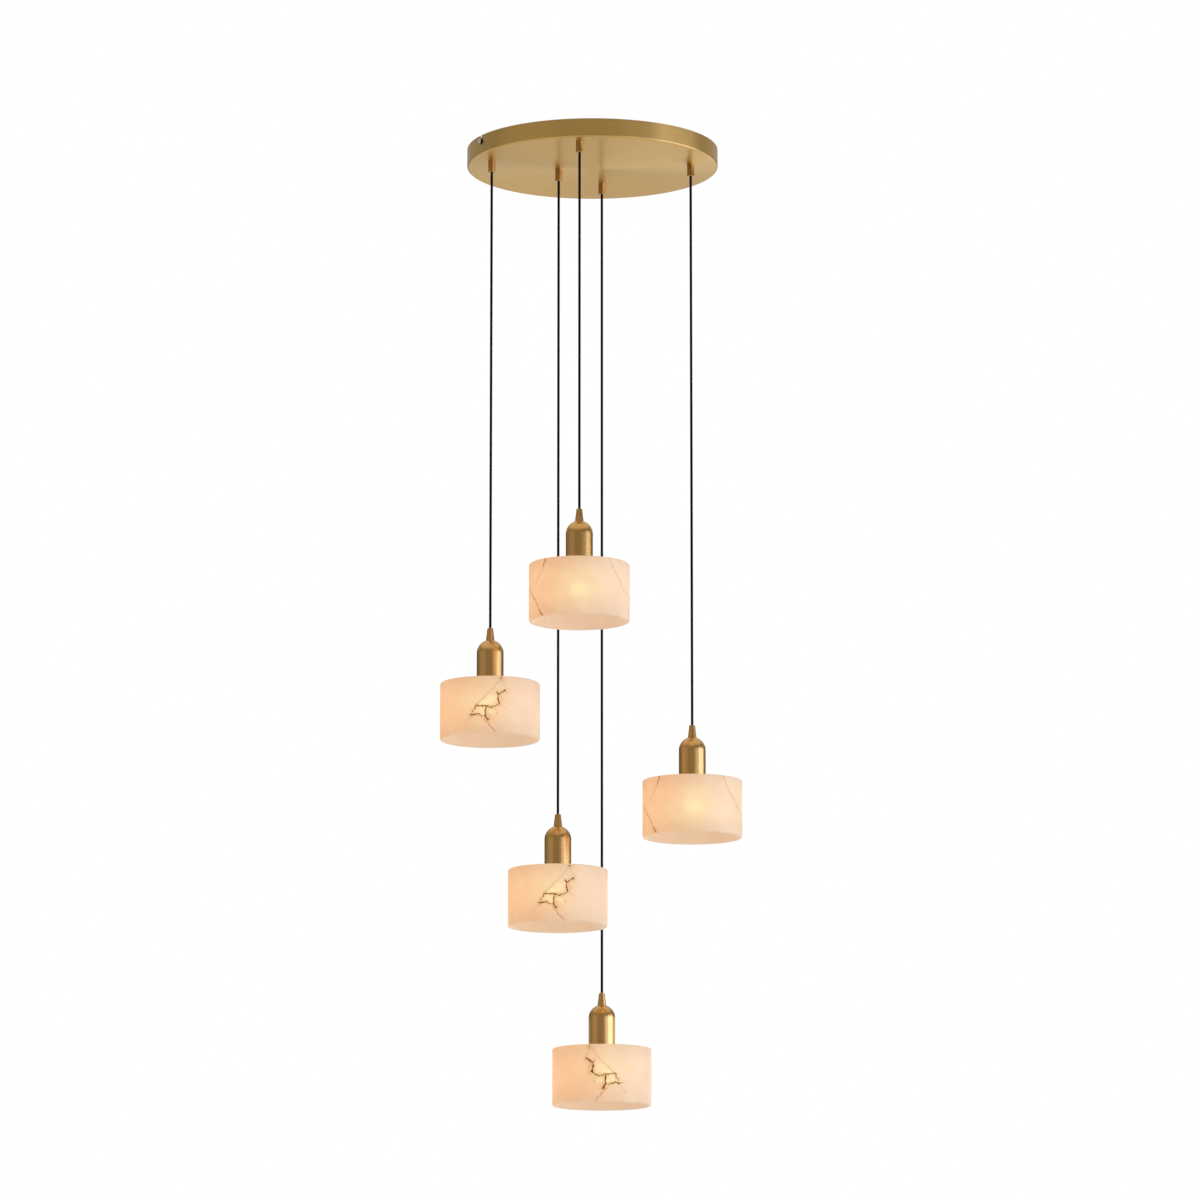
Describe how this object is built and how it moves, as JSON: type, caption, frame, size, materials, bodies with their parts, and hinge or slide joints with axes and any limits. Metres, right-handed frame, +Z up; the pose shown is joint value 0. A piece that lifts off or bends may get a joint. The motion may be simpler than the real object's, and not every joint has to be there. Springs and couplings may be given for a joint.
{
  "type": "cluster pendant light",
  "caption": "Cluster pendant light: a round brass canopy from which cords hang at different heights, each with a domed brass socket cup and an alabaster drum shade.",
  "frame": {"origin": "centre of the bracket's ceiling face, midway between its two slots", "axes": "+Z up to the ceiling; +X along the ceiling bracket; the pictured front is seen from -Y, 28 degrees towards -X"},
  "size_m": [0.4472, 0.4178, 1.52],
  "materials": {
    "bracket_steel": "satin",
    "screw_steel": "polished",
    "brushed_brass": "satin",
    "plain_brass": "satin",
    "black_cord": "matte",
    "terminal_plastic": "matte",
    "nylon": "matte",
    "holder_ceramic": "satin",
    "alabaster": "satin",
    "ring_plastic": "satin",
    "opal_bulb": "satin"
  },
  "bodies": {
    "bracket": {"ceiling_bracket": "bracket_steel", "side_screws": "screw_steel"},
    "canopy": {"canopy": "brushed_brass", "canopy_grips": "plain_brass", "grip_nuts": "plain_brass", "set_screws": "screw_steel", "terminal_block": "terminal_plastic", "earth_stud": "plain_brass", "cord_tails": "black_cord"},
    "cord_1": {"cord_1": "black_cord"},
    "collet_1": {"cord_collet_1": "nylon"},
    "pendant_1": {"cord_grip_1": "plain_brass", "nipple_1": "bracket_steel", "socket_cup_1": "brushed_brass", "lampholder_1": "holder_ceramic", "thread_shell_1": "plain_brass", "shade_1": "alabaster", "shade_ring_1": "ring_plastic"},
    "bulb_1": {"bulb_1": "opal_bulb"},
    "cord_2": {"cord_2": "black_cord"},
    "collet_2": {"cord_collet_2": "nylon"},
    "pendant_2": {"cord_grip_2": "plain_brass", "nipple_2": "bracket_steel", "socket_cup_2": "brushed_brass", "lampholder_2": "holder_ceramic", "thread_shell_2": "plain_brass", "shade_2": "alabaster", "shade_ring_2": "ring_plastic"},
    "bulb_2": {"bulb_2": "opal_bulb"},
    "cord_3": {"cord_3": "black_cord"},
    "collet_3": {"cord_collet_3": "nylon"},
    "pendant_3": {"cord_grip_3": "plain_brass", "nipple_3": "bracket_steel", "socket_cup_3": "brushed_brass", "lampholder_3": "holder_ceramic", "thread_shell_3": "plain_brass", "shade_3": "alabaster", "shade_ring_3": "ring_plastic"},
    "bulb_3": {"bulb_3": "opal_bulb"},
    "cord_4": {"cord_4": "black_cord"},
    "collet_4": {"cord_collet_4": "nylon"},
    "pendant_4": {"cord_grip_4": "plain_brass", "nipple_4": "bracket_steel", "socket_cup_4": "brushed_brass", "lampholder_4": "holder_ceramic", "thread_shell_4": "plain_brass", "shade_4": "alabaster", "shade_ring_4": "ring_plastic"},
    "bulb_4": {"bulb_4": "opal_bulb"},
    "cord_5": {"cord_5": "black_cord"},
    "collet_5": {"cord_collet_5": "nylon"},
    "pendant_5": {"cord_grip_5": "plain_brass", "nipple_5": "bracket_steel", "socket_cup_5": "brushed_brass", "lampholder_5": "holder_ceramic", "thread_shell_5": "plain_brass", "shade_5": "alabaster", "shade_ring_5": "ring_plastic"},
    "bulb_5": {"bulb_5": "opal_bulb"}
  },
  "joints": [
    {"name": "canopy_drop", "type": "slide", "parent": "bracket", "child": "canopy", "axis": [0, 0, -1], "range_m": [0, 0.025]},
    {"name": "swing_1", "type": "hinge", "parent": "canopy", "child": "cord_1", "pos_m": [-0.097, -0.1398, -0.047], "axis": [-0.8192, 0.5736, 0], "range_deg": [-1.5, 15]},
    {"name": "lift_1", "type": "slide", "parent": "cord_1", "child": "collet_1", "axis": [0, 0, 1], "range_m": [0, 0.12], "deforming": ["cord_1"]},
    {"name": "turn_1", "type": "hinge", "parent": "collet_1", "child": "pendant_1", "pos_m": [-0.097, -0.1398, -0.706], "axis": [0, 0, 1], "range_deg": [-180, 180]},
    {"name": "bulb_out_1", "type": "slide", "parent": "pendant_1", "child": "bulb_1", "axis": [0, 0, -1], "range_m": [0, 0.03]},
    {"name": "swing_2", "type": "hinge", "parent": "canopy", "child": "cord_2", "pos_m": [-0.1619, 0.0363, -0.047], "axis": [0.342, 0.9397, 0], "range_deg": [-1.5, 15]},
    {"name": "lift_2", "type": "slide", "parent": "cord_2", "child": "collet_2", "axis": [0, 0, 1], "range_m": [0, 0.12], "deforming": ["cord_2"]},
    {"name": "turn_2", "type": "hinge", "parent": "collet_2", "child": "pendant_2", "pos_m": [-0.1619, 0.0363, -0.872], "axis": [0, 0, 1], "range_deg": [-180, 180]},
    {"name": "bulb_out_2", "type": "slide", "parent": "pendant_2", "child": "bulb_2", "axis": [0, 0, -1], "range_m": [0, 0.03]},
    {"name": "swing_3", "type": "hinge", "parent": "canopy", "child": "cord_3", "pos_m": [0.1293, -0.0902, -0.047], "axis": [-0.5736, -0.8192, 0], "range_deg": [-1.5, 15]},
    {"name": "lift_3", "type": "slide", "parent": "cord_3", "child": "collet_3", "axis": [0, 0, 1], "range_m": [0, 0.12], "deforming": ["cord_3"]},
    {"name": "turn_3", "type": "hinge", "parent": "collet_3", "child": "pendant_3", "pos_m": [0.1293, -0.0902, -1.022], "axis": [0, 0, 1], "range_deg": [-180, 180]},
    {"name": "bulb_out_3", "type": "slide", "parent": "pendant_3", "child": "bulb_3", "axis": [0, 0, -1], "range_m": [0, 0.03]},
    {"name": "swing_4", "type": "hinge", "parent": "canopy", "child": "cord_4", "pos_m": [-0.0411, 0.0377, -0.047], "axis": [0.9848, 0.1736, 0], "range_deg": [-1.5, 15]},
    {"name": "lift_4", "type": "slide", "parent": "cord_4", "child": "collet_4", "axis": [0, 0, 1], "range_m": [0, 0.08], "deforming": ["cord_4"]},
    {"name": "turn_4", "type": "hinge", "parent": "collet_4", "child": "pendant_4", "pos_m": [-0.0411, 0.0377, -1.158], "axis": [0, 0, 1], "range_deg": [-180, 180]},
    {"name": "bulb_out_4", "type": "slide", "parent": "pendant_4", "child": "bulb_4", "axis": [0, 0, -1], "range_m": [0, 0.03]},
    {"name": "swing_5", "type": "hinge", "parent": "canopy", "child": "cord_5", "pos_m": [0.0593, 0.0795, -0.047], "axis": [0.9962, 0.0872, 0], "range_deg": [-1.5, 15]},
    {"name": "lift_5", "type": "slide", "parent": "cord_5", "child": "collet_5", "axis": [0, 0, 1], "range_m": [0, 0.08], "deforming": ["cord_5"]},
    {"name": "turn_5", "type": "hinge", "parent": "collet_5", "child": "pendant_5", "pos_m": [0.0593, 0.0795, -1.43], "axis": [0, 0, 1], "range_deg": [-180, 180]},
    {"name": "bulb_out_5", "type": "slide", "parent": "pendant_5", "child": "bulb_5", "axis": [0, 0, -1], "range_m": [0, 0.03]}
  ]
}
